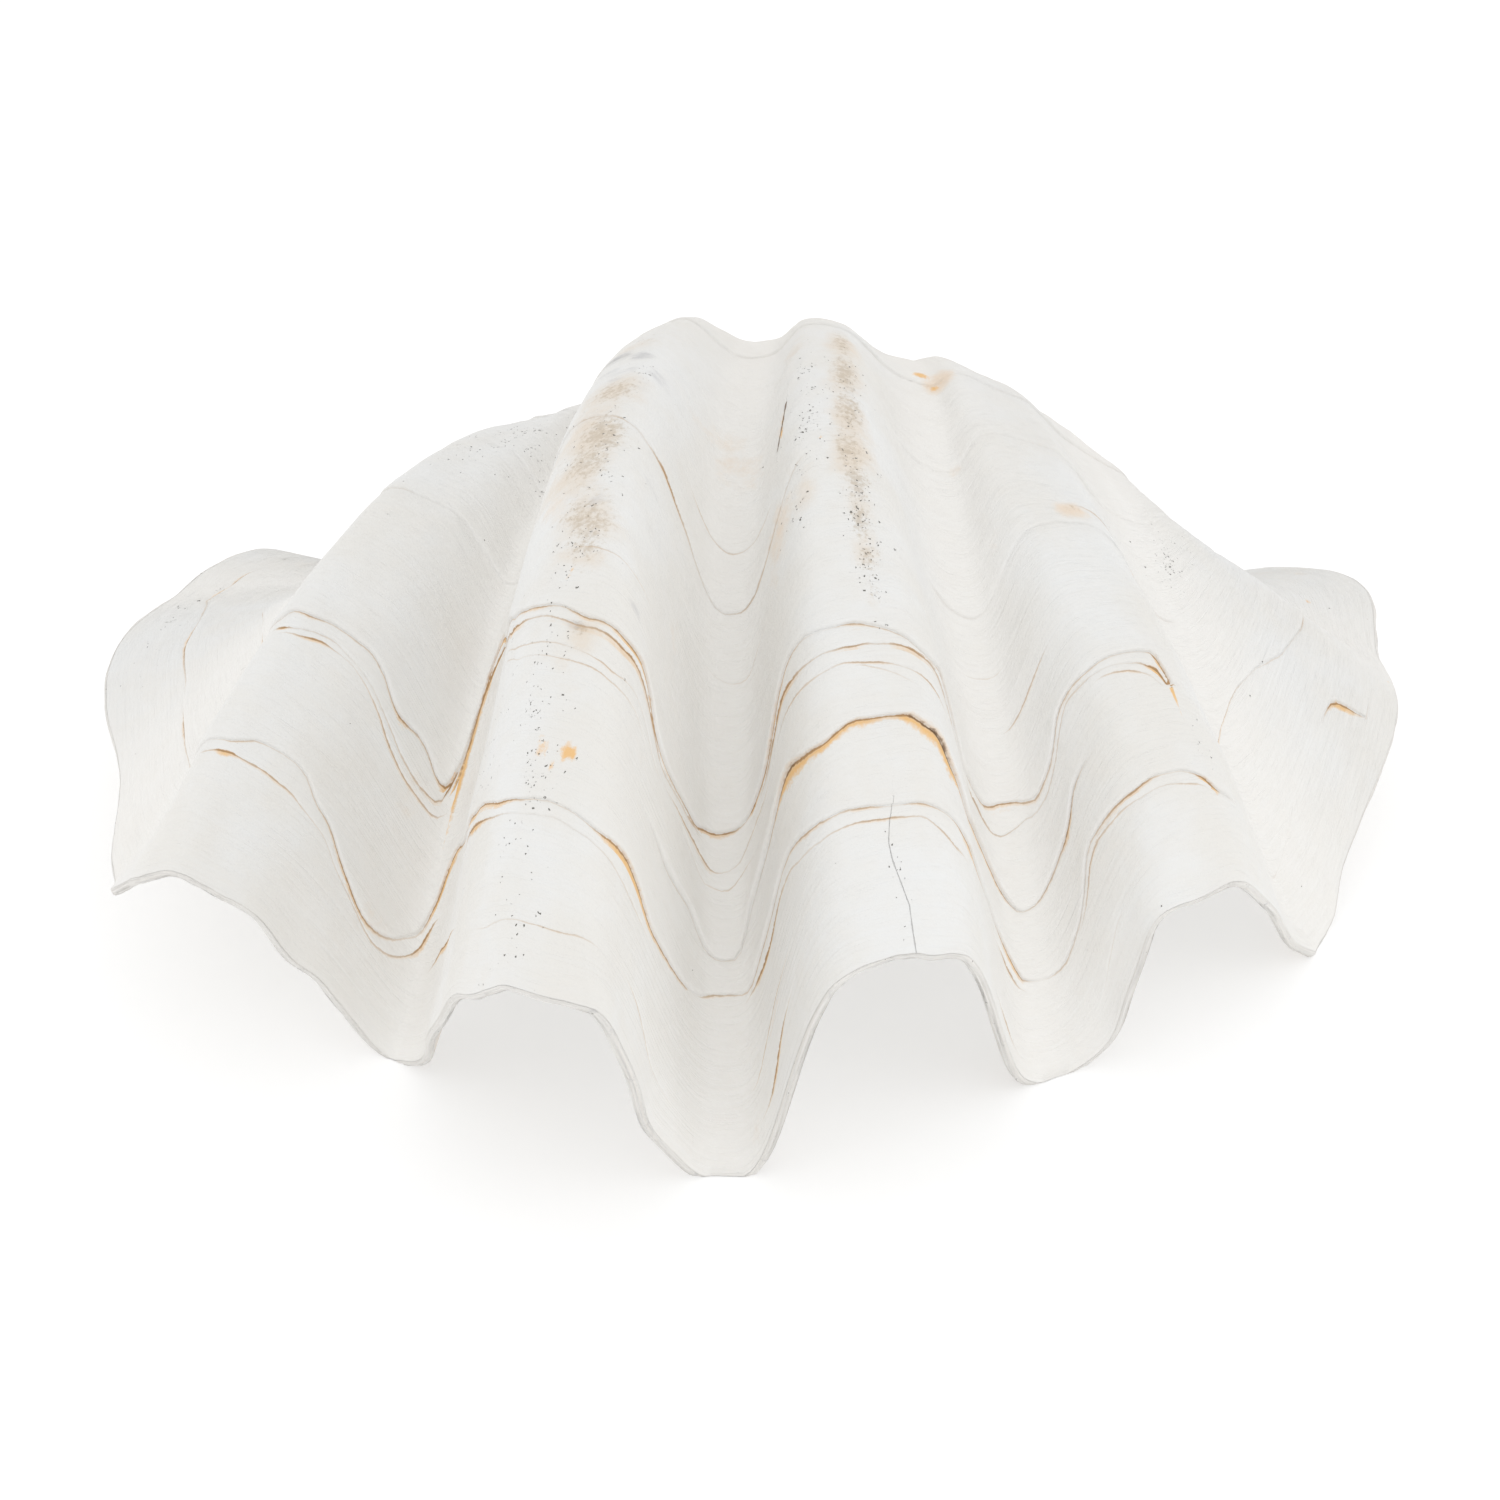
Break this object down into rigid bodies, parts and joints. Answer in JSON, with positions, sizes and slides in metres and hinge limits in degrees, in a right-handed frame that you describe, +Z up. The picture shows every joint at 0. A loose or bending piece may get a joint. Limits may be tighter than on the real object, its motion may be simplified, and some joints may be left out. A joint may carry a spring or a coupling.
{
  "type": "giant clam shell",
  "caption": "Single half of a giant clam shell lying mouth down, with broad fluted ribs, growth ledges, a wavy rim and a thick hinge plate.",
  "frame": {"origin": "centre of the bounding box's bottom, on the surface that the shell rests on", "axes": "+X along the hinge, the longest extent; -Y from the hinge towards the fluted front margin; +Z up through the dome"},
  "size_m": [0.6322, 0.5144, 0.2562],
  "materials": {
    "shell": "matt off-white shell with ochre growth lines, smooth inside"
  },
  "bodies": {
    "root": {"valve": "shell"}
  },
  "joints": []
}
